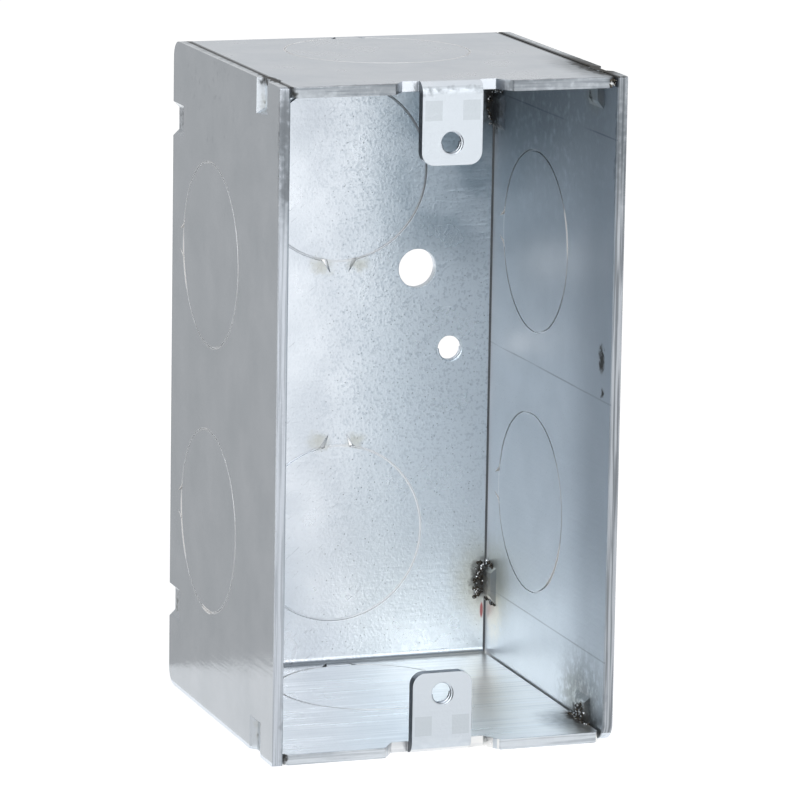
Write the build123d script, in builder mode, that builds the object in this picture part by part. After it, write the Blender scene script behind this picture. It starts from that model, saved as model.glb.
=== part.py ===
"""Welded sheet-steel switch box for one wiring device.

One strip of sheet is folded into the top, the back and the bottom, with a tapped
device ear turned in at each end. Two flat side plates close it. Each plate has four
projections pressed inward at its edges, which are welded into the strip's edges, and
every wall has round knockouts that hang on a short tie.

Frame: millimetres, +Z up along the box, the open front faces -Y, and the origin is at
the middle of the underside.
"""

import os

from build123d import *

# Overall size, over the side plates
box_width = 54.0
box_depth = 54.0
box_height = 101.6

# Sheet and folds
sheet = 1.6
bend_inner = 1.0
bend_outer = bend_inner + sheet

# Fit of the folded strip between the side plates
seam_gap = 0.35
plate_rise = 0.1
strip_front_setback = 0.3
strip_corner_radius = 1.2
plate_back_setback = 0.6
plate_front_radius = 0.4
plate_worn_radius = 3.0

# Device ears, folded tighter than the back
ear_bend_inner = 0.2
ear_bend_outer = ear_bend_inner + sheet
ear_width = 9.4
ear_length = 12.4
ear_tip_radius = 2.0
ear_setback = 0.8
ear_hole_diameter = 3.5
ear_hole_from_end = 9.1
relief_clearance = 0.15
relief_floor_width = 14.6
relief_mouth_width = 18.4

# Knockouts, scored on both faces, with a tie between two slits
knockout_diameter = 28.2
score_width = 0.3
score_depth = 0.4
tie_width = 5.0
tie_neck = 3.0
tie_slit_length = 1.8
tie_slit_width = 0.8
back_knockout_spacing = 57.7
side_knockout_spacing = 41.2
side_knockout_from_back = 20.6
end_knockout_from_back = 18.2

# The back's pattern of holes and knockouts, punched a little above the middle
back_pattern_rise = 0.6
mounting_hole_diameter = 6.2
mounting_hole_aside = 12.9
mounting_hole_above_ground = 13.05
ground_hole_diameter = 4.2
ground_hole_aside = 18.6

# Weld projections pressed into the edges of the side plates
projection_width = 5.3
projection_length = 5.3
projection_height = 0.95
projection_slope = 45
projection_spread = 0.6
fused_height = 0.6
fused_slope = 60
back_projection_spacing = 76.1
end_projection_from_front = 8.5

# Places that follow from the sizes above
front = -box_depth / 2
back = box_depth / 2
strip_top = box_height - plate_rise
middle = strip_top / 2
back_middle = middle + back_pattern_rise
strip_front = front + strip_front_setback
strip_width = box_width - 2 * (sheet + seam_gap)
ear_front = strip_front + ear_setback
ear_fold = ear_front + ear_bend_outer
relief_floor = ear_fold + relief_clearance
plate_back = back - plate_back_setback
plate_outer = box_width / 2
score_radius = knockout_diameter / 2


def knockout_cut():
    """What one knockout takes out of a wall: the outer face is at Z = 0, the wall lies
    below it, and the tie is on the +Y side."""
    tie_foot = score_radius - score_width
    with BuildPart() as cut:
        with BuildSketch(Plane.XY.offset(-score_depth), Plane.XY.offset(-sheet)):
            Circle(score_radius + score_width / 2)
            Circle(score_radius - score_width / 2, mode=Mode.SUBTRACT)
            with Locations((0, score_radius)):
                Rectangle(tie_width, 2 * score_width, mode=Mode.SUBTRACT)
        extrude(amount=score_depth)
        with BuildSketch(Plane.XY.offset(-sheet)):
            with BuildLine():
                Polyline(
                    ((tie_width - tie_slit_width) / 2, tie_foot),
                    ((tie_width + tie_slit_width) / 2, tie_foot),
                    (tie_neck / 2, score_radius + tie_slit_length),
                    close=True,
                )
            make_face()
            mirror(about=Plane.YZ)
        extrude(amount=sheet)
    return cut.part


def device_ear():
    """The top ear: its tongue at the panel, the fold and the flat with the tapped hole,
    which stands 83.3 mm from the hole of the bottom ear."""
    tip = strip_top - ear_length
    with BuildPart() as ear:
        with BuildSketch(Plane.YZ):
            with BuildLine():
                Line((relief_floor, strip_top), (ear_fold, strip_top))
                JernArc((ear_fold, strip_top), (-1, 0), ear_bend_outer, 90)
                Polyline(
                    (ear_front, strip_top - ear_bend_outer),
                    (ear_front, tip),
                    (ear_front + sheet, tip),
                    (ear_front + sheet, strip_top - ear_bend_outer),
                )
                JernArc((ear_front + sheet, strip_top - ear_bend_outer), (0, 1), ear_bend_inner, -90)
                Polyline(
                    (ear_fold, strip_top - sheet),
                    (relief_floor, strip_top - sheet),
                    (relief_floor, strip_top),
                )
            make_face()
        extrude(amount=ear_width / 2, both=True)
        fillet(ear.edges().filter_by(Axis.Y).group_by(Axis.Z)[0], ear_tip_radius)
        with BuildSketch(Plane.XZ.offset(-ear_front)):
            with Locations((0, strip_top - ear_hole_from_end)):
                Circle(ear_hole_diameter / 2)
        extrude(amount=-sheet, mode=Mode.SUBTRACT)
    return ear.part


def projection():
    """The hollow of one weld projection and the bump behind it, which the weld has sunk: the
    plate's outer face is at Z = 0, its edge is the X axis, and the plate lies on the +Y side."""
    bump_width = projection_width + projection_spread
    bump_length = projection_length + projection_spread / 2
    with BuildPart() as hollow:
        with BuildSketch():
            Rectangle(projection_width, 2 * projection_length)
        extrude(amount=-projection_height, taper=projection_slope)
    with BuildPart() as bump:
        with BuildSketch(Plane.XY.offset(-sheet)):
            Rectangle(bump_width, 2 * bump_length)
        extrude(amount=-fused_height, taper=fused_slope)
        split(bisect_by=Plane.XZ, keep=Keep.BOTTOM)
    return hollow.part, bump.part


def side_plate(low_front_radius):
    """The right-hand plate, with its two knockouts and four weld projections."""
    hollow, bump = projection()
    edges = [
        Plane((plate_outer, plate_back, back_middle + side * back_projection_spacing / 2), (0, 0, 1), (1, 0, 0))
        for side in (-1, 1)
    ]
    edges.append(Plane((plate_outer, front + end_projection_from_front, 0), (0, 1, 0), (1, 0, 0)))
    edges.append(Plane((plate_outer, front + end_projection_from_front, box_height), (0, -1, 0), (1, 0, 0)))
    knockouts = [
        Plane((plate_outer, back - side_knockout_from_back, middle + side * side_knockout_spacing / 2),
              (0, 0, -1), (1, 0, 0))
        for side in (-1, 1)
    ]
    with BuildPart() as plate:
        with BuildSketch(Plane.YZ.offset(plate_outer)):
            with BuildLine():
                FilletPolyline(
                    (front, 0),
                    (plate_back, 0),
                    (plate_back, box_height),
                    (front, box_height),
                    radius=[low_front_radius, bend_outer, bend_outer, plate_front_radius],
                    close=True,
                )
            make_face()
        extrude(amount=-sheet)
        with Locations(*edges):
            add(hollow, mode=Mode.SUBTRACT)
            add(bump)
        with Locations(*knockouts):
            add(knockout_cut(), mode=Mode.SUBTRACT)
    return plate.part


with BuildPart() as right_side_plate:
    add(side_plate(plate_worn_radius))

with BuildPart() as left_side_plate:
    add(side_plate(plate_front_radius).mirror(Plane.YZ))

with BuildPart() as wrap_strip:
    with BuildSketch(Plane.YZ):
        with BuildLine():
            outside = FilletPolyline(
                (strip_front, strip_top),
                (back, strip_top),
                (back, 0),
                (strip_front, 0),
                radius=bend_outer,
            )
            inside = FilletPolyline(
                (strip_front, strip_top - sheet),
                (back - sheet, strip_top - sheet),
                (back - sheet, sheet),
                (strip_front, sheet),
                radius=bend_inner,
            )
            Line(outside @ 0, inside @ 0)
            Line(outside @ 1, inside @ 1)
        make_face()
    extrude(amount=strip_width / 2, both=True)
    fillet(wrap_strip.edges().filter_by(Axis.Z).group_by(Axis.Y)[0], strip_corner_radius)

    # The reliefs that free both ears for folding
    with BuildSketch():
        with BuildLine():
            Polyline(
                (-relief_mouth_width / 2, strip_front),
                (-relief_floor_width / 2, relief_floor),
                (relief_floor_width / 2, relief_floor),
                (relief_mouth_width / 2, strip_front),
                close=True,
            )
        make_face()
    extrude(amount=strip_top, mode=Mode.SUBTRACT)

    top_ear = device_ear()
    add(top_ear)
    mirror(top_ear, about=Plane.XY.offset(middle))

    # Two knockouts in the back, tied on their near sides, and one in each end
    with Locations(
        Plane((0, back, back_middle + back_knockout_spacing / 2), (1, 0, 0), (0, 1, 0)),
        Plane((0, back, back_middle - back_knockout_spacing / 2), (-1, 0, 0), (0, 1, 0)),
        Plane((0, back - end_knockout_from_back, strip_top), (1, 0, 0), (0, 0, 1)),
        Plane((0, back - end_knockout_from_back, 0), (-1, 0, 0), (0, 0, -1)),
    ):
        add(knockout_cut(), mode=Mode.SUBTRACT)

    # The nail hole and the tapped ground hole of the back
    with BuildSketch(Plane.XZ.offset(-back)):
        with Locations((mounting_hole_aside, back_middle + mounting_hole_above_ground)):
            Circle(mounting_hole_diameter / 2)
        with Locations((ground_hole_aside, back_middle)):
            Circle(ground_hole_diameter / 2)
    extrude(amount=sheet, mode=Mode.SUBTRACT)

    # The seats that the plates' projections are welded into
    add(right_side_plate.part, mode=Mode.SUBTRACT)
    add(left_side_plate.part, mode=Mode.SUBTRACT)

wrap_strip.part.label = "wrap_strip"
left_side_plate.part.label = "left_side_plate"
right_side_plate.part.label = "right_side_plate"

os.makedirs("parts", exist_ok=True)
export_step(wrap_strip.part, "parts/wrap_strip.step")
export_step(left_side_plate.part, "parts/left_side_plate.step")
export_step(right_side_plate.part, "parts/right_side_plate.step")
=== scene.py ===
"""Looks of the galvanised switch box: its zinc-coated sheet, sheared edges, threads and weld spots.

Lengths are in metres for Blender. Places and sizes in the tables and in the finishes are in
millimetres in the frame of the box: +X right, the open front faces -Y, +Z up.
"""

import math

import bpy
from mathutils import Matrix, Vector


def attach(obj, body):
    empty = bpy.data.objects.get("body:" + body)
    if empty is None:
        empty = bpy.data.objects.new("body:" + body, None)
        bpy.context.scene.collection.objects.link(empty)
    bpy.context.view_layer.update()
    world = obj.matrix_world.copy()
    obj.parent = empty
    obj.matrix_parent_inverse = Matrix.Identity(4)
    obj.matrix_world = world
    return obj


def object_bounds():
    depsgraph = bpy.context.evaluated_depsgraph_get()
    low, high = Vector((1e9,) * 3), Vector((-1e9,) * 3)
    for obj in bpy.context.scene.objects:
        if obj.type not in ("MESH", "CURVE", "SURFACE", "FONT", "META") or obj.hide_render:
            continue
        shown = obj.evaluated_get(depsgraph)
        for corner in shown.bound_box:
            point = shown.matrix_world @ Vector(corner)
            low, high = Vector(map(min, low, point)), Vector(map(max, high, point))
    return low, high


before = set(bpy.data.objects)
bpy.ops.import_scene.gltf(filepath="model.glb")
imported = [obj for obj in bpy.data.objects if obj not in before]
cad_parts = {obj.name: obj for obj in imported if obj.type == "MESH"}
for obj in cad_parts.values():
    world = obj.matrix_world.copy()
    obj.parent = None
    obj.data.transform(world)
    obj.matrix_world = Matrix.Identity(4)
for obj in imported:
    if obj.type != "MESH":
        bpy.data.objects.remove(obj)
cad_low, cad_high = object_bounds()

MM = 0.001
WHITE = (1, 1, 1, 1)

# Where the part's source puts the knockouts
MIDDLE = 50.75
BACK_MIDDLE = 51.35
SCORE_RADIUS = 14.1
BACK_SPACING = 57.7
SIDE_SPACING = 41.2
SIDE_KNOCKOUT_Y = 6.4
END_KNOCKOUT_Y = 8.8

# Ranges that take in one face or edge each
BACK_INSIDE = (25.2, 26.2)
BACK_FACES = (25.2, 27.2)
BOTTOM_FACES = (-0.2, 1.8)
EAR_FRONT = (-26.1, -25.5)
EAR_SHEET = (-26.1, -24.0)
STRIP_FRONT_EDGE = (-27.2, -26.45)
PLATE_FRONT_EDGE = (-27.2, -26.5)
PLATE_INSIDE = (24.0, 25.6)
PLATE_OUTSIDE = (26.7, 27.2)
PLATE_TOP_EDGE = (101.4, 101.7)
PLATE_SLITS = (20.0, 22.6)

# Slopes of the normal: facing the front, upwards, or neither way along an axis
FACING_FRONT = (-1.1, -0.5)
FACING_UP = (0.6, 1.1)
NOT_ALONG = (-0.6, 0.6)
EDGE_ON = (-0.7, 0.7)

# Cards out of the picture: name, shade, corners
CARDS = (
    # The grey that the left wall mirrors
    ("left_card", 0.47, [(-27.3, 35.6, 0), (-62, 25.9, 0), (-62, 25.9, 200), (-27.3, 35.6, 200)]),
    # The dark that the right part of the back and the right wall mirror
    ("front_low_card", 0.03, [(-80, -165, 0.5), (0, -165, 0.5), (-25, -260, 0.5), (-125, -260, 0.5)]),
    ("front_far_card", 0.03, [(-170, -260, 0), (-25, -260, 0), (-25, -260, 45), (-170, -260, 45)]),
    # The light that the foot of the left wall mirrors
    ("left_paper", 0.78, [(-200, -80, 0.3), (-27.3, -80, 0.3), (-27.3, 35, 0.3), (-200, 35, 0.3)]),
    # A lit strip farther to the left, behind the box
    ("left_strip_light", 3.0, [(-330, 120, 0), (-330, 220, 0), (-330, 220, 260), (-330, 120, 260)]),
    # The light grey that the top mirrors
    ("back_card", 0.68, [(-500, 600, 0), (900, 600, 0), (900, 600, 500), (-500, 600, 500)]),
)

# Soft oval spots, each as its middle and its half sizes
STRIP_WELDS = [
    ((24.6, 25.3, 92.0), (1.2, 1.2, 4.0)), ((24.2, 25.3, 13.4), (1.3, 1.0, 3.0)),
    ((24.9, -18.6, 1.7), (1.3, 4.6, 0.8)), ((24.9, -17.5, 101.6), (1.3, 8.5, 1.6)),
    ((-25.0, -18.5, 101.6), (0.6, 2.2, 0.8)), ((-24.9, -26.7, 100.4), (0.8, 0.8, 1.0)),
    ((-25.0, -26.7, 1.0), (0.5, 0.6, 1.2)),
]
STRIP_SMOKE = [
    ((24.5, 25.4, 92.0), (4.0, 2.0, 8.0)), ((24.5, -17.0, 101.6), (3.0, 10.0, 1.5)),
    ((23.5, -19.0, 1.6), (3.5, 5.0, 1.0)),
]
STRIP_TINTS = [
    ((23.5, 25.4, 13.4), (3.5, 2.0, 5.0)), ((3.0, 25.4, 65.4), (1.8, 1.0, 1.0)),
    ((-3.0, 25.4, 65.4), (1.6, 1.0, 1.2)), ((3.0, 25.4, 37.4), (1.4, 1.0, 1.0)),
    ((-3.0, 25.4, 37.4), (1.6, 1.0, 1.2)),
]
# A darker band along the front edge of the top
TOP_EDGE_DARKENING = [((0, -26.7, 100.9), (26, 0.8, 1.4))]
BOTTOM_SHINE = [((0, -26.7, 0.8), (26, 0.8, 1.4))]
RED_MARKER = [((24.7, 25.4, 8.5), (0.25, 0.8, 1.2))]

# The same on the right-hand plate, and mirrored on the left one
PLATE_WELDS = [
    ((25.0, 25.0, 89.6), (0.8, 3.6, 3.6)), ((25.0, 24.6, 13.4), (0.8, 1.6, 3.2)),
    ((25.0, -18.3, 2.2), (0.8, 3.8, 1.4)), ((25.4, -18.4, 101.4), (0.9, 6.0, 0.9)),
    ((25.4, -22.9, 58.5), (0.5, 1.1, 1.9)), ((25.4, -23.5, 53.3), (0.5, 0.6, 0.8)),
    ((25.4, -17.3, 97.4), (0.5, 1.0, 0.8)),
]
# The first haze, over the whole top of the inside, is partly weld haze and mostly painted shade
PLATE_SMOKE_AND_SHADE = [
    ((25.2, 6.0, 98.0), (0.9, 27.0, 14.0)), ((25.2, -19.0, 4.0), (0.5, 8.0, 6.0)),
    ((25.9, -27.0, 92.0), (1.4, 0.6, 9.0)),
]
PLATE_TINTS = [
    ((25.2, 21.0, 13.4), (0.9, 5.5, 6.0)), ((25.2, -17.3, 97.4), (0.9, 3.0, 2.2)),
    ((25.2, -17.0, 4.0), (0.9, 6.0, 3.5)),
]

# What differs between the plates: the side, the front edge's two tones, how much painted light whitens
# the scores, and the spots of painted glint on their rims
PLATES = {
    "left": {"hand": -1, "edge": ("#BBC1C9", "#9BA1A8"), "scores": 0.65,
             "painted_glints": [((-26.9, 19.8, 68.0), (1, 3, 4)), ((-26.9, 19.8, 26.5), (1, 3, 5)),
                        ((-26.9, 7.0, 16.0), (1, 2, 1))]},
    "right": {"hand": 1, "edge": ("#AAAFB5", "#64696E"), "scores": 0.4,
              "painted_glints": [((25.5, -7.0, 75.0), (1, 2, 3.6)), ((25.5, -4.5, 22.0), (1, 4, 5))]},
}
LEFT_FRONT_DIRT = [((-26.2, -27.0, 96.5), (1.0, 0.6, 4.5)), ((-25.8, -27.0, 87.0), (0.8, 0.6, 2.4))]
RIGHT_TOP_BURN = [((26.2, -14.0, 101.7), (1.4, 12.0, 1.6))]
RIGHT_CREAM = [((25.2, 22.0, 9.0), (0.9, 3.2, 4.5))]

# Threads: name, end of the thread in its hole, radius
THREADS = (
    ("top_ear_thread", (0, -24.45, 92.4), 1.8),
    ("bottom_ear_thread", (0, -24.45, 9.1), 1.8),
    ("ground_hole_thread", (18.6, 26.7, 51.35), 2.15),
)

# Weld spatter: name, droplets per square millimetre, largest radius, seed, patches that it grows on
SPATTER = (
    ("low_back_weld", 6.0, 0.36, 3, [
        [(23.0, 25.35, 10.6), (24.9, 25.35, 10.6), (24.9, 25.35, 16.4), (23.6, 25.35, 16.4)],
        [(25.3, 25.3, 15.6), (25.3, 22.2, 15.8), (25.3, 22.6, 16.8), (25.3, 25.3, 16.8)],
        [(25.3, 25.3, 10.0), (25.3, 20.4, 10.2), (25.3, 20.8, 10.8), (25.3, 25.3, 11.2)]]),
    ("high_back_weld", 4.0, 0.36, 5, [
        [(24.0, 25.35, 86.6), (24.9, 25.35, 86.4), (24.9, 25.35, 96.0), (24.1, 25.35, 95.0)],
        [(25.3, 25.3, 92.0), (25.3, 21.6, 92.2), (25.3, 22.0, 93.4), (25.3, 25.3, 94.0)]]),
    ("low_front_weld", 5.0, 0.34, 7, [
        [(24.1, -21.8, 1.65), (25.3, -22.4, 1.65), (25.3, -14.2, 1.65), (24.5, -15.0, 1.65)],
        [(24.9, -20.8, 1.9), (24.9, -16.6, 1.9), (24.9, -17.2, 4.4), (24.9, -19.8, 4.4)]]),
    ("high_front_weld", 5.0, 0.2, 11, [
        [(24.2, -22.0, 101.3), (25.4, -24.0, 101.3), (25.4, -13.0, 101.3), (24.7, -14.0, 101.3)],
        [(24.4, -26.2, 101.2), (25.4, -26.2, 101.2), (25.4, -22.0, 101.2), (25.0, -22.0, 101.2)]]),
    ("high_corner_weld", 14.0, 0.26, 17, [
        [(24.3, -26.5, 100.1), (25.3, -26.5, 100.1), (25.3, -26.5, 101.1), (24.4, -26.5, 101.1)],
        [(24.8, -26.4, 100.1), (24.8, -25.4, 100.1), (24.8, -25.4, 101.1), (24.8, -26.4, 101.1)]]),
    ("high_left_weld", 3.0, 0.2, 13, [
        [(-25.4, -21.0, 101.3), (-24.7, -20.6, 101.3), (-24.8, -16.4, 101.3), (-25.4, -16.0, 101.3)]]),
)


# Small things that the rest is made with

def linear(code):
    """An sRGB hex colour as linear red, green, blue and alpha."""
    parts = [int(code[i:i + 2], 16) / 255 for i in (1, 3, 5)]
    return [p / 12.92 if p <= 0.04045 else ((p + 0.055) / 1.055) ** 2.4 for p in parts] + [1.0]


def add_node(tree, kind, ins=None, **settings):
    """A node with its settings; each input takes a plain value or another node's output."""
    node = tree.nodes.new(kind)
    for name, value in settings.items():
        setattr(node, name, value)
    for name, value in (ins or {}).items():
        if isinstance(value, bpy.types.NodeSocket):
            tree.links.new(value, node.inputs[name])
        else:
            node.inputs[name].default_value = value
    return node


def joined(tree, operation, values):
    """Values taken together, two at a time, by a maths operation."""
    whole = values[0]
    for value in values[1:]:
        whole = add_node(tree, "ShaderNodeMath", {0: whole, 1: value}, operation=operation).outputs[0]
    return whole


def added(name, data):
    """An object of this name in the scene."""
    thing = bpy.data.objects.new(name, data)
    bpy.context.scene.collection.objects.link(thing)
    return thing


def flat_mesh(name, faces):
    """A mesh of separate faces with four corners each, given in millimetres."""
    points = [Vector(corner) * MM for face in faces for corner in face]
    mesh = bpy.data.meshes.new(name)
    mesh.from_pydata(points, [], [tuple(range(i, i + 4)) for i in range(0, len(points), 4)])
    return mesh


def new_material(name):
    """A material with its node tree."""
    material = bpy.data.materials.new(name)
    material.use_nodes = True
    return material, material.node_tree


def object_place(tree):
    """The object's own coordinates in millimetres, and its normal."""
    coordinates = add_node(tree, "ShaderNodeTexCoord").outputs
    place = add_node(tree, "ShaderNodeVectorMath", {0: coordinates["Object"], "Scale": 1 / MM},
                     operation="SCALE")
    return place.outputs[0], coordinates["Normal"]


# The studio

def seen_directly(tree):
    """1 for camera, glossy and transmitted rays, 0 for the diffuse light that falls on things."""
    path = add_node(tree, "ShaderNodeLightPath").outputs
    return joined(tree, "MAXIMUM", [path["Is Camera Ray"], path["Is Glossy Ray"], path["Is Transmission Ray"]])


def studio_camera():
    """The photograph's view: a long lens from the front left, a little above the box."""
    yaw, pitch, roll = math.radians(19.18), math.radians(11.38), math.radians(0.94)
    distance = 808.48 * MM
    aside, below = 7.38 * MM, -3.31 * MM
    focal_px, frame_px, sensor_mm = 5463.17, 800, 36
    lens = bpy.data.cameras.new("camera")
    lens.sensor_width = sensor_mm
    lens.lens = focal_px / frame_px * sensor_mm
    lens.clip_start = 0.05
    turn = (Matrix.Rotation(-yaw, 3, "Z") @ Matrix.Rotation(-pitch, 3, "X")
            @ Matrix.Rotation(-roll, 3, "Y"))
    facing = turn @ Matrix.Rotation(math.radians(90), 3, "X")
    aim = Vector((0, cad_low.y, (cad_low.z + cad_high.z) / 2))
    stand = aim - turn @ Vector((aside, distance, below))
    camera = added("camera", lens)
    camera.matrix_world = Matrix.Translation(stand) @ facing.to_4x4()
    bpy.context.scene.camera = camera


def studio_world():
    """White all round to the eye and in the metal, and a softer fill on everything else."""
    fill_strength = 0.6
    world = bpy.data.worlds.new("studio")
    bpy.context.scene.world = world
    world.use_nodes = True
    tree = world.node_tree
    white = tree.nodes["Background"]
    white.inputs["Color"].default_value = WHITE
    white.inputs["Strength"].default_value = 1.0
    fill = add_node(tree, "ShaderNodeBackground", {"Color": WHITE, "Strength": fill_strength})
    mix = add_node(tree, "ShaderNodeMixShader",
                   {0: seen_directly(tree), 1: fill.outputs[0], 2: white.outputs[0]})
    tree.links.new(mix.outputs[0], tree.nodes["World Output"].inputs["Surface"])


def white_floor():
    """Plain white paper that shows white and keeps the box's soft shadow."""
    reach, paper, glow = 4000, 0.8, 0.55
    floor = added("floor", flat_mesh("floor", [[(-reach, -reach, 0), (reach, -reach, 0),
                                                (reach, reach, 0), (-reach, reach, 0)]]))
    material, tree = new_material("white_paper")
    shader = tree.nodes["Principled BSDF"]
    shader.inputs["Base Color"].default_value = (paper, paper, paper, 1)
    shader.inputs["Roughness"].default_value = 1.0
    shader.inputs["Specular IOR Level"].default_value = 0.0
    shader.inputs["Emission Color"].default_value = WHITE
    tree.links.new(joined(tree, "MULTIPLY", [seen_directly(tree), glow]), shader.inputs["Emission Strength"])
    floor.data.materials.append(material)


def grey_card(name, shade, corners):
    """A studio card out of the picture: only the metal sees it, as this shade."""
    card = added(name, flat_mesh(name, [corners]))
    material, tree = new_material(name)
    tree.nodes.remove(tree.nodes["Principled BSDF"])
    glow = add_node(tree, "ShaderNodeEmission", {"Color": (shade, shade, shade, 1), "Strength": 1.0})
    tree.links.new(glow.outputs[0], tree.nodes["Material Output"].inputs["Surface"])
    card.data.materials.append(material)
    card.visible_camera = False
    card.visible_diffuse = False
    card.visible_shadow = False


def softbox(name, place, aim, size, power):
    """A square lamp turned to a point, in metres and watts."""
    lamp = bpy.data.lights.new(name, "AREA")
    lamp.shape = "SQUARE"
    lamp.size = size
    lamp.energy = power
    holder = added(name, lamp)
    holder.rotation_euler = (Vector(aim) - Vector(place)).to_track_quat("-Z", "Y").to_euler()
    holder.location = place


# Covers: where a layer of a finish shows, from 0 to 1. A finish is a dictionary with its material
# and tree, the patterns that covers come from, and the colour, roughness and so on reached so far.

def within(finish, axis, span, source="split"):
    """1 between two places along an axis, in millimetres, or between two slopes of the normal."""
    low, high = span
    middle, half = (low + high) / 2, (high - low) / 2
    return add_node(finish["tree"], "ShaderNodeMath", {0: finish[source][axis], 1: middle, 2: half},
                    operation="COMPARE").outputs[0]


def beside(finish, hand, span):
    """1 between two distances from the middle plane, on the left (-1) or on the right (1)."""
    return within(finish, "X", sorted(hand * place for place in span))


def both(finish, *covers):
    """The cover where all the given covers hold."""
    return joined(finish["tree"], "MULTIPLY", covers)


def either(finish, *covers):
    """The cover where any of the given covers holds."""
    return joined(finish["tree"], "MAXIMUM", covers)


def ramp(finish, source, low, high, start=0.0, end=1.0):
    """A smooth change from one cover to another between two values of a source."""
    return add_node(finish["tree"], "ShaderNodeMapRange", {0: source, 1: low, 2: high, 3: start, 4: end},
                    interpolation_type="SMOOTHSTEP").outputs[0]


def spots(finish, places, strength=1.0, fade=0.5, source="ragged"):
    """The cover of soft oval spots, each given by its middle and half sizes in millimetres."""
    tree = finish["tree"]
    covers = []
    for middle, half in places:
        away = add_node(tree, "ShaderNodeVectorMath", {0: finish[source], 1: middle}, operation="SUBTRACT")
        share = add_node(tree, "ShaderNodeVectorMath", {0: away.outputs[0], 1: half}, operation="DIVIDE")
        reach = add_node(tree, "ShaderNodeVectorMath", {0: share.outputs[0]}, operation="LENGTH")
        covers.append(ramp(finish, reach.outputs["Value"], 1 - fade, 1 + fade, strength, 0.0))
    return either(finish, *covers)


def mirrored(places, hand):
    """The right side's spots, on the left (-1) or on the right (1)."""
    return [((hand * x, y, z), half) for (x, y, z), half in places]


def score_rings(finish, middle, spacing, keep, reach=0.2):
    """The cover of two knockouts' scores, a spacing apart in height about a middle. Keep has 0 for the
    axis that they are seen along, and the spacing is 0 where that is the height."""
    tree = finish["tree"]
    away = add_node(tree, "ShaderNodeVectorMath", {0: finish["place"], 1: middle}, operation="SUBTRACT")
    folded = add_node(tree, "ShaderNodeVectorMath", {0: away.outputs[0]}, operation="ABSOLUTE")
    knockout = add_node(tree, "ShaderNodeVectorMath", {0: folded.outputs[0], 1: (0, 0, spacing / 2)},
                        operation="SUBTRACT")
    flat = add_node(tree, "ShaderNodeVectorMath", {0: knockout.outputs[0], 1: keep}, operation="MULTIPLY")
    length = add_node(tree, "ShaderNodeVectorMath", {0: flat.outputs[0]}, operation="LENGTH")
    return add_node(tree, "ShaderNodeMath", {0: length.outputs["Value"], 1: SCORE_RADIUS, 2: reach},
                    operation="COMPARE").outputs[0]


# Finishes

def layer(finish, cover, colour=None, roughness=None, metallic=None):
    """One more finish over the last, where its cover is 1."""
    tree = finish["tree"]
    if colour:
        finish["colour"] = add_node(tree, "ShaderNodeMix", {0: cover, 6: finish["colour"], 7: linear(colour)},
                                    data_type="RGBA").outputs[2]
    for name, value in (("roughness", roughness), ("metallic", metallic)):
        if value is not None:
            finish[name] = add_node(tree, "ShaderNodeMix", {0: cover, 2: finish[name], 3: value}).outputs[0]


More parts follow.
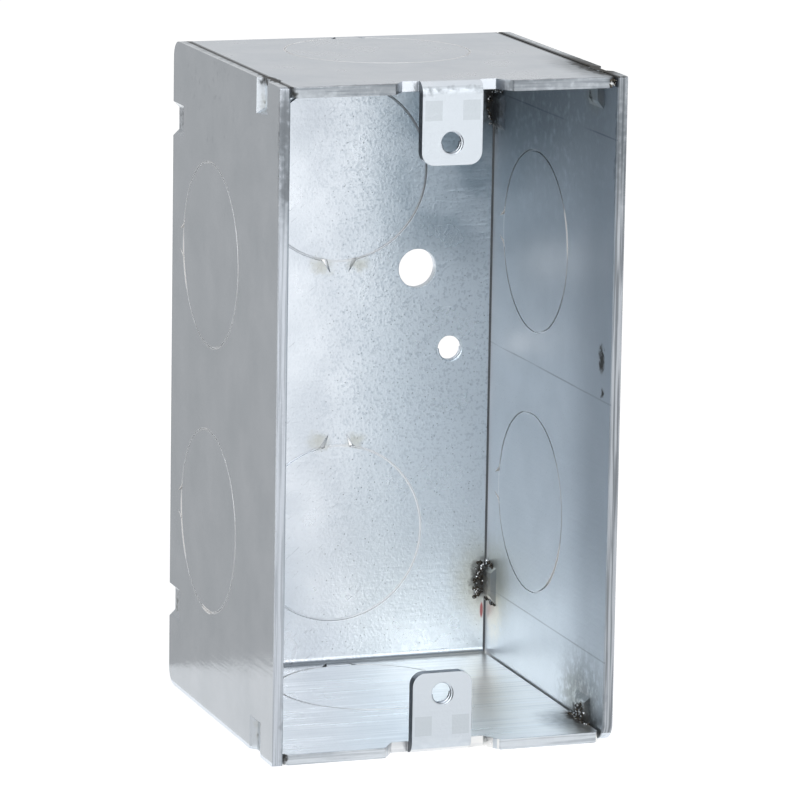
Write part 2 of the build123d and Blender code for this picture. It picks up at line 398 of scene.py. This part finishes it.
def zinc_sheet(name, dull, bright, rolling):
    """Hot-dip galvanised steel sheet, cold to the eye: soft cloudy zinc with a fine grain, dark pits and
    faint lines along its rolling direction, so that reflections are blurred and a little granular."""
    cloud_mm, grain_mm, pit_mm, ragged_mm = 9.0, 0.4, 0.95, 1.3
    pit_core, pit_rim = 0.07, 0.15
    dark_cloud, light_cloud = 0.3, 0.7
    dull_roughness, bright_roughness = 0.33, 0.26
    wave_mm, grain_deep_mm, line_deep_mm, ragged_reach_mm = 0.05, 0.03, 0.03, 2.6
    material, tree = new_material(name)
    place, normal = object_place(tree)

    # Patterns
    clouds = add_node(tree, "ShaderNodeTexNoise", {"Vector": place, "Scale": 1 / cloud_mm, "Detail": 4.0})
    grain = add_node(tree, "ShaderNodeTexNoise", {"Vector": place, "Scale": 1 / grain_mm, "Detail": 2.0})
    drawn = add_node(tree, "ShaderNodeVectorMath", {0: place, 1: rolling}, operation="MULTIPLY")
    lines = add_node(tree, "ShaderNodeTexNoise", {"Vector": drawn.outputs[0], "Scale": 1.0, "Detail": 3.0})
    cells = add_node(tree, "ShaderNodeTexVoronoi", {"Vector": place, "Scale": 1 / pit_mm})
    pits = add_node(tree, "ShaderNodeMapRange",
                    {0: cells.outputs["Distance"], 1: pit_core, 2: pit_rim, 3: 1.0, 4: 0.0})

    # Coordinates that wander a little, for the ragged outlines of stains
    wobble = add_node(tree, "ShaderNodeTexNoise", {"Vector": place, "Scale": 1 / ragged_mm, "Detail": 3.0})
    centred = add_node(tree, "ShaderNodeVectorMath", {0: wobble.outputs["Color"], 1: (0.5, 0.5, 0.5)},
                       operation="SUBTRACT")
    ragged = add_node(tree, "ShaderNodeVectorMath",
                      {0: centred.outputs[0], 1: (ragged_reach_mm,) * 3, 2: place}, operation="MULTIPLY_ADD")

    # Colour, gloss and relief of the bare sheet
    lightness = add_node(tree, "ShaderNodeMapRange",
                         {0: clouds.outputs["Fac"], 1: dark_cloud, 2: light_cloud, 3: 0.0, 4: 1.0})
    colour = add_node(tree, "ShaderNodeMix", {0: lightness.outputs[0], 6: linear(dull), 7: linear(bright)},
                      data_type="RGBA")
    gloss = add_node(tree, "ShaderNodeMapRange",
                     {0: clouds.outputs["Fac"], 1: dark_cloud, 2: light_cloud, 3: dull_roughness,
                      4: bright_roughness})
    height = joined(tree, "MULTIPLY", [clouds.outputs["Fac"], wave_mm])
    for pattern, deep in ((grain, grain_deep_mm), (lines, line_deep_mm)):
        height = add_node(tree, "ShaderNodeMath", {0: pattern.outputs["Fac"], 1: deep, 2: height},
                          operation="MULTIPLY_ADD").outputs[0]
    return {"tree": tree, "material": material, "place": place, "ragged": ragged.outputs[0],
            "split": add_node(tree, "ShaderNodeSeparateXYZ", {0: place}).outputs,
            "normal": add_node(tree, "ShaderNodeSeparateXYZ", {0: normal}).outputs,
            "clouds": clouds.outputs["Fac"], "grain": grain.outputs["Fac"], "lines": lines.outputs["Fac"],
            "pits": pits.outputs[0], "colour": colour.outputs[2], "roughness": gloss.outputs[0],
            "metallic": 1.0, "height": height}


def close_finish(finish):
    """Bring the layers together in the shader, with edges rounded a little for the light."""
    edge_radius_mm = 0.14
    tree = finish["tree"]
    shader = tree.nodes["Principled BSDF"]
    for name, socket in (("colour", "Base Color"), ("roughness", "Roughness"), ("metallic", "Metallic")):
        if isinstance(finish[name], bpy.types.NodeSocket):
            tree.links.new(finish[name], shader.inputs[socket])
        else:
            shader.inputs[socket].default_value = finish[name]
    rounded = add_node(tree, "ShaderNodeBevel", {"Radius": edge_radius_mm * MM}, samples=4)
    bump = add_node(tree, "ShaderNodeBump", {"Strength": 1.0, "Distance": MM, "Height": finish["height"],
                                             "Normal": rounded.outputs[0]})
    tree.links.new(bump.outputs[0], shader.inputs["Normal"])
    return finish["material"]


def sheared_edge(finish, cover, stretch, tone, torn_tone):
    """The cut edge of the sheet: a dull burnished band with darker torn lines along it."""
    tree = finish["tree"]
    along = add_node(tree, "ShaderNodeVectorMath", {0: finish["place"], 1: stretch}, operation="MULTIPLY")
    tears = add_node(tree, "ShaderNodeTexNoise", {"Vector": along.outputs[0], "Scale": 1.0, "Detail": 3.0})
    torn = ramp(finish, tears.outputs["Fac"], 0.42, 0.62, 0.0, 0.8)
    layer(finish, cover, tone, 0.4)
    layer(finish, both(finish, cover, torn), torn_tone, 0.5)


def weld_heat(finish, welds, smoke_and_shade, tints):
    """What resistance welding leaves: a faint straw-green halo, a smoky haze and black scale; on the plates
    one broad haze across the top of the inside is partly weld haze and mostly painted shade.
    """
    layer(finish, spots(finish, tints, 0.45, 0.7), "#B3B2A0", 0.4)
    layer(finish, spots(finish, smoke_and_shade, 0.72, 0.9), "#565D62", 0.42)
    layer(finish, spots(finish, welds, 0.9, 0.45), "#2F2E2B", 0.85, 0.35)


def back_marks_and_painted_light(finish, back):
    """Pits and short scuffs that run up to the right over the back, and painted light and shade on it: a
    colder, lighter tone towards its right side, granular painted shade growing to the right and upwards, bluer
    painted shade at the top right and painted light at the foot."""
    tree, across, up = finish["tree"], finish["split"]["X"], finish["split"]["Z"]
    layer(finish, both(finish, finish["pits"], back, ramp(finish, across, -8, 6, 0.12, 0.9)), "#4E575F")
    scuff_mm, scuff_slope, drawn_out = 0.36, math.radians(40), 0.14
    turned = add_node(tree, "ShaderNodeVectorRotate", {"Vector": finish["place"], "Angle": scuff_slope},
                      rotation_type="Y_AXIS")
    drawn = add_node(tree, "ShaderNodeVectorMath", {0: turned.outputs[0], 1: (drawn_out, 1.0, 1.0)},
                     operation="MULTIPLY")
    scuffs = add_node(tree, "ShaderNodeTexNoise",
                      {"Vector": drawn.outputs[0], "Scale": 1 / scuff_mm, "Detail": 1.0})
    layer(finish, both(finish, back, ramp(finish, scuffs.outputs["Fac"], 0.68, 0.82, 0.0, 0.25)), "#727A82")
    # Painted light: a colder, lighter tone towards the right side
    layer(finish, both(finish, back, ramp(finish, across, -4, 12, 0.0, 0.4)), "#D3E3EC")
    # Painted shade: granular, growing to the right and upwards, and bluer at the top right
    rising = both(finish, back, ramp(finish, up, 12, 48, 0.25, 1.0))
    mottle_and_painted_shade = both(finish, ramp(finish, finish["grain"], 0.5, 0.68), ramp(finish, across, -9, 5, 0.03, 0.42))
    layer(finish, both(finish, rising, mottle_and_painted_shade), "#9FACB7")
    painted_shade_top_right = both(finish, ramp(finish, finish["clouds"], 0.35, 0.62, 0.35, 0.8),
                ramp(finish, across, 2, 14), ramp(finish, up, 58, 78, 0.05, 1.0))
    layer(finish, both(finish, rising, painted_shade_top_right), "#8A9CA9")
    # Painted light at the foot, stronger to the right
    foot = both(finish, ramp(finish, up, 8, 40, 0.25, 0.0), ramp(finish, across, -2, 16))
    layer(finish, both(finish, back, foot), "#F2F8FB")


def rolled_streaks_and_painted_light(finish, cover):
    """Light and dark streaks that the rolling mill drew out in the bright zinc of the bottom, and painted
    light that grows towards its right side.
    """
    painted_light_to_right = ramp(finish, finish["split"]["X"], -4, 18, 0.0, 0.95)
    dark_lines = ramp(finish, finish["lines"], 0.5, 0.68, 0.0, 0.3)
    light_lines = ramp(finish, finish["lines"], 0.34, 0.46, 0.5, 0.0)
    layer(finish, both(finish, cover, 0.6), "#D9D9D8")
    # Painted light, growing towards the right
    layer(finish, both(finish, cover, painted_light_to_right), "#FAF8F4", 0.32)
    layer(finish, both(finish, cover, dark_lines), "#BEC3C7", 0.4)
    layer(finish, both(finish, cover, light_lines), "#F6F8FA", 0.24)


def device_ears(finish):
    """The ears' flat grey faces with two coined dents each, and painted shade on their cut edges and on part
    of the lower ear's top edge.
    """
    face = both(finish, within(finish, "Y", FACING_FRONT, "normal"), within(finish, "Y", EAR_FRONT))
    sheet = within(finish, "Y", EAR_SHEET)
    layer(finish, face, "#C6CDD4", 0.36)
    for hand in (-1, 1):
        for low in (2.75, 95.75):
            coin = both(finish, face, beside(finish, hand, (1.6, 4.3)), within(finish, "Z", (low, low + 3.0)))
            layer(finish, coin, "#BBC2C8", 0.44)
    painted_shade_sides = both(finish, sheet, within(finish, "X", (-5.0, 5.0)),
                 within(finish, "Y", NOT_ALONG, "normal"), within(finish, "Z", NOT_ALONG, "normal"))
    layer(finish, painted_shade_sides, "#646A70", 0.5)
    painted_shade_tip = both(finish, sheet, within(finish, "X", (-5.0, 3.0)), within(finish, "Z", (11.0, 14.0)),
               within(finish, "Z", FACING_UP, "normal"))
    layer(finish, both(finish, painted_shade_tip, 0.8), "#5A6066", 0.5)


def strip_finish():
    """The folded strip, whose rolling lines run from side to side."""
    strip = zinc_sheet("galvanised_strip", "#CFD6DE", "#DDE3EA", (0.05, 1.5, 1.5))
    back_marks_and_painted_light(strip, within(strip, "Y", BACK_INSIDE))
    rolled_streaks_and_painted_light(strip, within(strip, "Z", BOTTOM_FACES))
    device_ears(strip)
    # Painted shade: a dark line along the top's side edges at the seams with the plates
    for hand in (-1, 1):
        painted_seam_shade = both(strip, within(strip, "Z", (101.3, 101.7)), beside(strip, hand, (24.7, 25.1)))
        layer(strip, both(strip, painted_seam_shade, 0.6), "#464543", 0.5, 0.6)
    sheared_edge(strip, within(strip, "Y", STRIP_FRONT_EDGE), (0.08, 0.4, 2.6), "#C4CAD0", "#969CA3")

    # Painted light whitens the back's scores towards the right, and painted shade darkens them towards the top
    back_scores = both(strip, score_rings(strip, (0, 26, BACK_MIDDLE), BACK_SPACING, (1, 0, 1)),
                       within(strip, "Y", BACK_FACES))
    painted_light_to_right = ramp(strip, strip["split"]["X"], -6, 6, 0.2, 1.0)
    painted_shade_to_top = ramp(strip, strip["split"]["Z"], 64, 84, 0.0, 0.9)
    layer(strip, both(strip, back_scores, painted_light_to_right), "#F9FCFF", 0.5, 0.3)
    layer(strip, both(strip, back_scores, painted_shade_to_top), "#8B949C", 0.4, 0.8)

    layer(strip, spots(strip, TOP_EDGE_DARKENING, 0.66), "#666C72", 0.5)
    layer(strip, spots(strip, BOTTOM_SHINE, 0.22), "#E2E7EB", 0.4)
    # Painted light whitens the scores of the end knockouts
    end_scores = score_rings(strip, (0, END_KNOCKOUT_Y, MIDDLE), 0, (1, 1, 0))
    layer(strip, both(strip, end_scores, 0.8), "#FFFFFF", 0.4, 0.6)
    weld_heat(strip, STRIP_WELDS, STRIP_SMOKE, STRIP_TINTS)
    layer(strip, spots(strip, RED_MARKER, 0.85, 0.3, "place"), "#B0484C", 0.5, 0.3)
    return close_finish(strip)


def plate_finish(side):
    """A side plate, whose rolling lines run from front to back."""
    hand = PLATES[side]["hand"]
    plate = zinc_sheet("galvanised_plate_" + side, "#D0D7DE", "#DBE1E8", (1.5, 0.05, 1.1))
    deep, up = plate["split"]["Y"], plate["split"]["Z"]
    edge_on = within(plate, "X", EDGE_ON, "normal")
    top_edge = within(plate, "Z", PLATE_TOP_EDGE)
    inside = beside(plate, hand, PLATE_INSIDE)
    layer(plate, both(plate, plate["pits"], 0.12), "#4E575F")
    front_edge = both(plate, edge_on, within(plate, "Y", PLATE_FRONT_EDGE))
    sheared_edge(plate, front_edge, (3.2, 0.4, 0.06), *PLATES[side]["edge"])

    # The outside is glossier; the inside gets painted light at the foot and painted shade at the top
    layer(plate, beside(plate, hand, PLATE_OUTSIDE), roughness=0.18)
    layer(plate, inside, roughness=0.37)
    layer(plate, both(plate, inside, ramp(plate, up, 10, 45, 0.15, 0.0)), "#F0F6F9")
    layer(plate, both(plate, inside, ramp(plate, up, 50, 72, 0.0, 0.3)), "#74818C")

    # Painted light on the walls of the ties' slits and in the scores, and a painted glint on parts of the
    # scores' rims
    for step in (-1, 1):
        tie = MIDDLE + step * SIDE_SPACING / 2
        painted_light_slit = both(plate, edge_on, within(plate, "Y", PLATE_SLITS), within(plate, "Z", (tie - 3.2, tie + 3.2)))
        layer(plate, painted_light_slit, "#FFFFFF", 0.6, 0.0)
    knockouts = ((0, SIDE_KNOCKOUT_Y, MIDDLE), SIDE_SPACING, (0, 1, 1))
    layer(plate, both(plate, score_rings(plate, *knockouts), PLATES[side]["scores"]), "#FFFFFF", 0.45, 0.8)
    painted_glints = both(plate, score_rings(plate, *knockouts, reach=0.35),
                  spots(plate, PLATES[side]["painted_glints"], 1.0, 0.3, "place"))
    layer(plate, painted_glints, "#FFFFFF", 0.4, 0.0)

    layer(plate, both(plate, inside, ramp(plate, deep, -21, -7, 0.45, 0.0)), "#808B95", 0.4)
    weld_heat(plate, mirrored(PLATE_WELDS, hand), mirrored(PLATE_SMOKE_AND_SHADE, hand), mirrored(PLATE_TINTS, hand))

    # Fine dark scratches from front to back
    for height, strength in ((92.1, 0.45), (52.1, 0.35), (12.4, 0.3)):
        fine = ramp(plate, plate["lines"], 0.35, 0.6, 0.0, strength)
        scratch = both(plate, inside, within(plate, "Z", (height - 0.12, height + 0.12)), fine)
        layer(plate, scratch, "#4E565D", 0.5)

    # Burn and painted shade along the top edge, burns, stains, and painted shade in the gap at the seam with
    # the strip
    seam_burn_and_shade = both(plate, top_edge, beside(plate, hand, (25.3, 25.8)))
    layer(plate, both(plate, seam_burn_and_shade, 0.8), "#3B3A38", 0.6, 0.5)
    if side == "right":
        layer(plate, both(plate, top_edge, spots(plate, RIGHT_TOP_BURN, 0.85, 0.5)), "#403E3A", 0.8, 0.5)
        layer(plate, spots(plate, RIGHT_CREAM, 0.7, 0.6), "#F6F1E6", 0.4)
    else:
        layer(plate, spots(plate, LEFT_FRONT_DIRT, 0.8, 0.5), "#6F7479", 0.5)
    # Painted shade in the gap at the seam with the strip
    painted_gap_shade = either(plate, within(plate, "Y", (25.35, 27.2)), within(plate, "Z", (100.0, 101.4)))
    layer(plate, both(plate, painted_gap_shade, beside(plate, hand, (25.2, 25.6))), "#4A5056", 0.5, 0.5)
    return close_finish(plate)


def weld_scale():
    """Burnt weld metal: black oxide scale with bright frozen droplets, rough and patchy."""
    patch_mm = 0.7
    material, tree = new_material("weld_scale")
    place = object_place(tree)[0]
    patches = add_node(tree, "ShaderNodeTexNoise", {"Vector": place, "Scale": 1 / patch_mm, "Detail": 2.0})
    bright = add_node(tree, "ShaderNodeMapRange", {0: patches.outputs["Fac"], 1: 0.5, 2: 0.62})
    colour = add_node(tree, "ShaderNodeMix",
                      {0: bright.outputs[0], 6: linear("#55514A"), 7: linear("#D9DDE0")}, data_type="RGBA")
    gloss = add_node(tree, "ShaderNodeMapRange", {0: bright.outputs[0], 3: 0.55, 4: 0.18})
    shader = tree.nodes["Principled BSDF"]
    shader.inputs["Metallic"].default_value = 1.0
    tree.links.new(colour.outputs[2], shader.inputs["Base Color"])
    tree.links.new(gloss.outputs[0], shader.inputs["Roughness"])
    return material


# Pieces that Geometry Nodes grow

def node_tree(name, sockets):
    """A Geometry Nodes tree with named inputs, the nodes that hold them and its output."""
    tree = bpy.data.node_groups.new(name, "GeometryNodeTree")
    tree.is_modifier = True
    for label, kind in sockets.items():
        tree.interface.new_socket(label, in_out="INPUT", socket_type="NodeSocket" + kind)
    tree.interface.new_socket("Geometry", in_out="OUTPUT", socket_type="NodeSocketGeometry")
    return tree, tree.nodes.new("NodeGroupInput").outputs, tree.nodes.new("NodeGroupOutput").inputs


def thread_tree():
    """The ridge of a tapped thread, wound along -Y inside a hole."""
    tree, given, out = node_tree("tapped_thread", {"Place": "Vector", "Radius": "Float", "Pitch": "Float",
                                                   "Turns": "Float", "Ridge": "Float",
                                                   "Material": "Material"})
    length = joined(tree, "MULTIPLY", [given["Pitch"], given["Turns"]])
    spiral = add_node(tree, "GeometryNodeCurveSpiral",
                      {"Resolution": 40, "Rotations": given["Turns"], "Start Radius": given["Radius"],
                       "End Radius": given["Radius"], "Height": length})
    ridge = add_node(tree, "GeometryNodeCurvePrimitiveCircle", {"Resolution": 6, "Radius": given["Ridge"]})
    wound = add_node(tree, "GeometryNodeCurveToMesh", {"Curve": spiral.outputs[0],
                                                       "Profile Curve": ridge.outputs[0], "Fill Caps": True})
    placed = add_node(tree, "GeometryNodeTransform",
                      {"Geometry": wound.outputs[0], "Translation": given["Place"],
                       "Rotation": (math.radians(90), 0, 0)})
    real = add_node(tree, "GeometryNodeRealizeInstances", {0: placed.outputs[0]})
    finished = add_node(tree, "GeometryNodeSetMaterial",
                        {"Geometry": real.outputs[0], "Material": given["Material"]})
    tree.links.new(finished.outputs[0], out["Geometry"])
    return tree


def spatter_tree():
    """Lumpy droplets of metal scattered over the patches where the sheet melted."""
    lump_mm, lump_reach_mm = 0.35, 0.28
    tree, given, out = node_tree("weld_spatter", {"Geometry": "Geometry", "Density": "Float", "Seed": "Int",
                                                  "Smallest": "Float", "Largest": "Float",
                                                  "Material": "Material"})
    points = add_node(tree, "GeometryNodeDistributePointsOnFaces",
                      {"Mesh": given["Geometry"], "Density": given["Density"], "Seed": given["Seed"]})
    drop = add_node(tree, "GeometryNodeMeshIcoSphere", {"Radius": 1.0, "Subdivisions": 2})
    size = add_node(tree, "FunctionNodeRandomValue",
                    {2: given["Smallest"], 3: given["Largest"], "Seed": given["Seed"]}, data_type="FLOAT")
    scale = add_node(tree, "ShaderNodeCombineXYZ", {axis: size.outputs[1] for axis in "XYZ"})
    spread = add_node(tree, "GeometryNodeInstanceOnPoints",
                      {"Points": points.outputs[0], "Instance": drop.outputs[0], "Scale": scale.outputs[0],
                       "Rotation": points.outputs["Rotation"]})
    real = add_node(tree, "GeometryNodeRealizeInstances", {0: spread.outputs[0]})
    place = add_node(tree, "GeometryNodeInputPosition")
    lumps = add_node(tree, "ShaderNodeTexNoise",
                     {"Vector": place.outputs[0], "Scale": 1 / (lump_mm * MM), "Detail": 1.0})
    centred = add_node(tree, "ShaderNodeVectorMath", {0: lumps.outputs["Color"], 1: (0.5, 0.5, 0.5)},
                       operation="SUBTRACT")
    shift = add_node(tree, "ShaderNodeVectorMath", {0: centred.outputs[0], "Scale": lump_reach_mm * MM},
                     operation="SCALE")
    lumpy = add_node(tree, "GeometryNodeSetPosition", {"Geometry": real.outputs[0], "Offset": shift.outputs[0]})
    smooth = add_node(tree, "GeometryNodeSetShadeSmooth", {"Geometry": lumpy.outputs[0]})
    finished = add_node(tree, "GeometryNodeSetMaterial",
                        {"Geometry": smooth.outputs[0], "Material": given["Material"]})
    tree.links.new(finished.outputs[0], out["Geometry"])
    return tree


def grow(name, tree, start, values):
    """Add a piece that a tree grows, made a plain mesh that rides on the box."""
    holder = added(name + "_start", start)
    modifier = holder.modifiers.new(name, "NODES")
    modifier.node_group = tree
    for socket in tree.interface.items_tree:
        if socket.in_out == "INPUT" and socket.name in values:
            modifier[socket.identifier] = values[socket.name]
    depsgraph = bpy.context.evaluated_depsgraph_get()
    mesh = bpy.data.meshes.new_from_object(holder.evaluated_get(depsgraph))
    bpy.data.objects.remove(holder)
    mesh.name = name
    piece = added(name, mesh)
    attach(piece, "root")


def tapped_threads(steel):
    """The start of a thread in both ears and in the ground hole."""
    pitch_mm, ridge_mm, turns = 0.794, 0.3, 1.5
    tree = thread_tree()
    for name, place, radius in THREADS:
        values = {"Place": [v * MM for v in place], "Radius": radius * MM, "Pitch": pitch_mm * MM,
                  "Turns": turns, "Ridge": ridge_mm * MM, "Material": steel}
        grow(name, tree, bpy.data.meshes.new(name + "_start"), values)


def weld_spatter(scale):
    """Droplets and scale on the welds."""
    smallest_mm = 0.1
    tree = spatter_tree()
    for name, density, largest, seed, patches in SPATTER:
        values = {"Density": density / MM ** 2, "Seed": seed, "Smallest": smallest_mm * MM,
                  "Largest": largest * MM, "Material": scale}
        grow(name, tree, flat_mesh(name + "_patches", patches), values)


studio_camera()
studio_world()
white_floor()
for card in CARDS:
    grey_card(*card)
softbox("key", (-0.12, -0.85, 0.45), (0, 0, 0.04), 0.7, 4.0)

steel = {"wrap": strip_finish(), "left": plate_finish("left"), "right": plate_finish("right")}
for node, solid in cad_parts.items():
    solid.data.materials.clear()
    solid.data.materials.append(steel[node.split("_")[0]])
tapped_threads(steel["wrap"])
weld_spatter(weld_scale())

bpy.context.scene.view_settings.view_transform = "Standard"
